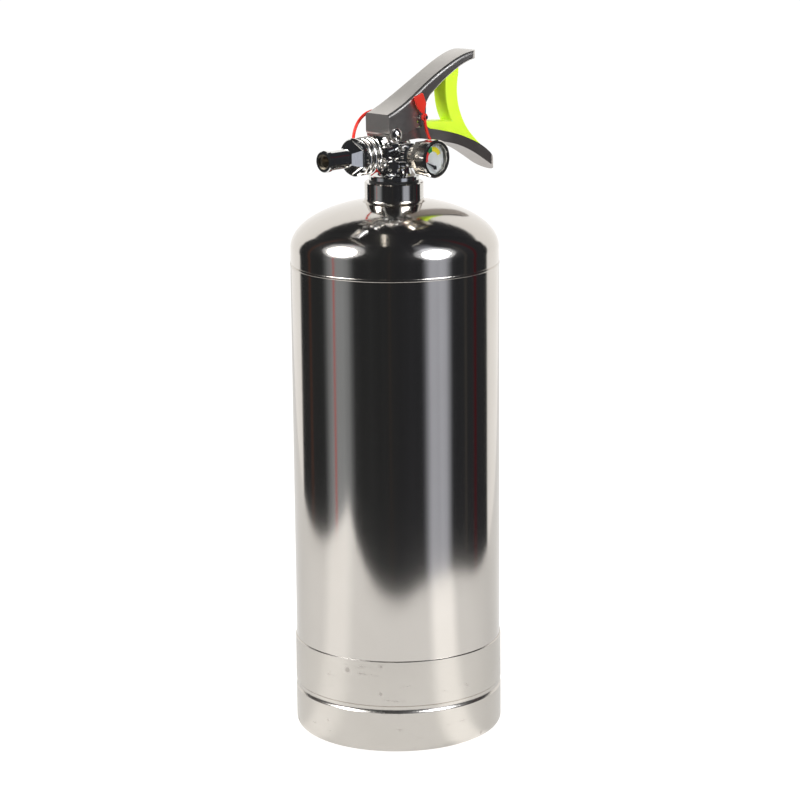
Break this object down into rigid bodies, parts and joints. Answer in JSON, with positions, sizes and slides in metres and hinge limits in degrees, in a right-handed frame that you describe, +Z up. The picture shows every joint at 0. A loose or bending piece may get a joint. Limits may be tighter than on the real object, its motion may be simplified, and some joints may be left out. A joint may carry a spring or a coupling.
{
  "type": "fire extinguisher",
  "caption": "Portable stainless steel stored-pressure fire extinguisher with squeeze levers, pull pin, gauge and short nozzle.",
  "frame": {"origin": "centre of the base, on the plane that the extinguisher stands on", "axes": "+Z up along the body's axis; the nozzle points along -X, the levers run out along +X and the gauge faces -Y"},
  "size_m": [0.1516, 0.1312, 0.427],
  "materials": {
    "body_steel": "mirror-polished stainless steel",
    "weld_steel": "ground weld bead",
    "base_steel": "satin stainless steel",
    "neck_steel": "turned and polished stainless steel",
    "seal_rubber": "moulded rubber",
    "valve_chrome": "chrome-plated brass casting",
    "stem_brass": "turned brass",
    "spring_steel": "drawn spring wire",
    "siphon_plastic": "natural polypropylene",
    "lever_steel": "satin stainless sheet",
    "handle_steel": "satin stainless sheet",
    "rivet_steel": "polished rivet",
    "washer_steel": "plain washers",
    "pin_steel": "bright wire",
    "ring_red": "red coated wire",
    "seal_red": "moulded red plastic",
    "insert_plastic": "moulded yellow-green plastic",
    "nozzle_chrome": "chrome-plated brass",
    "nozzle_dark": "darkened brass",
    "coil_chrome": "bright wire",
    "gauge_chrome": "nickel-plated brass",
    "bezel_chrome": "polished bezel",
    "gauge_glass": "clear lens",
    "gauge_dial": "printed dial face",
    "gauge_pointer": "black painted pointer"
  },
  "bodies": {
    "cylinder": {"body_tube": "body_steel", "top_dome": "body_steel", "dome_weld": "weld_steel", "base_cup": "base_steel", "neck_ring": "neck_steel", "neck_weld": "weld_steel", "neck_gasket": "seal_rubber", "valve_body": "valve_chrome", "stem_o_rings": "seal_rubber", "spring_carrier": "stem_brass", "stem_spring": "spring_steel", "siphon_tube": "siphon_plastic", "siphon_strainer": "siphon_plastic", "lower_handle": "handle_steel", "pivot_rivet": "rivet_steel", "grip_insert": "insert_plastic", "nozzle_tube": "nozzle_chrome", "nozzle_insert": "nozzle_dark", "nozzle_collar": "nozzle_chrome", "nozzle_coil": "coil_chrome", "gauge_case": "gauge_chrome", "gauge_seal": "seal_rubber", "gauge_bezel": "bezel_chrome", "gauge_lens": "gauge_glass", "gauge_dial": "gauge_dial", "gauge_spring_tube": "stem_brass"},
    "squeeze_lever": {"upper_lever": "lever_steel", "pivot_washers": "washer_steel", "seal_tag": "seal_red", "seal_strap": "seal_red"},
    "stem": {"valve_stem": "stem_brass", "seat_washer": "seal_rubber"},
    "pin": {"safety_pin": "pin_steel"},
    "ring": {"pull_ring": "ring_red"},
    "pointer": {"gauge_pointer": "gauge_pointer"}
  },
  "joints": [
    {"name": "lever_squeeze", "type": "hinge", "parent": "cylinder", "child": "squeeze_lever", "pos_m": [-0.0075, 0, 0.3815], "axis": [0, 1, 0], "range_deg": [0, 12], "stiffness_Nm_per_rad": 1.2, "springref_deg": -6.88, "deforming": ["grip_insert"]},
    {"name": "stem_travel", "type": "slide", "parent": "cylinder", "child": "stem", "axis": [0, 0, 1], "range_m": [-0.0027, 0], "deforming": ["stem_spring"]},
    {"name": "pin_pull", "type": "slide", "parent": "squeeze_lever", "child": "pin", "axis": [0, 1, 0], "range_m": [0, 0.036]},
    {"name": "ring_swing", "type": "hinge", "parent": "pin", "child": "ring", "pos_m": [0.0112, 0.0172, 0.38795], "axis": [0, 1, 0], "range_deg": [-25, 20]},
    {"name": "gauge_needle", "type": "hinge", "parent": "cylinder", "child": "pointer", "pos_m": [0.0012, -0.0335, 0.3626], "axis": [0, 1, 0], "range_deg": [0, 100]}
  ],
  "couplings": [
    {"joint": "stem_travel", "follows": "lever_squeeze", "m_per_rad": -0.0124}
  ]
}
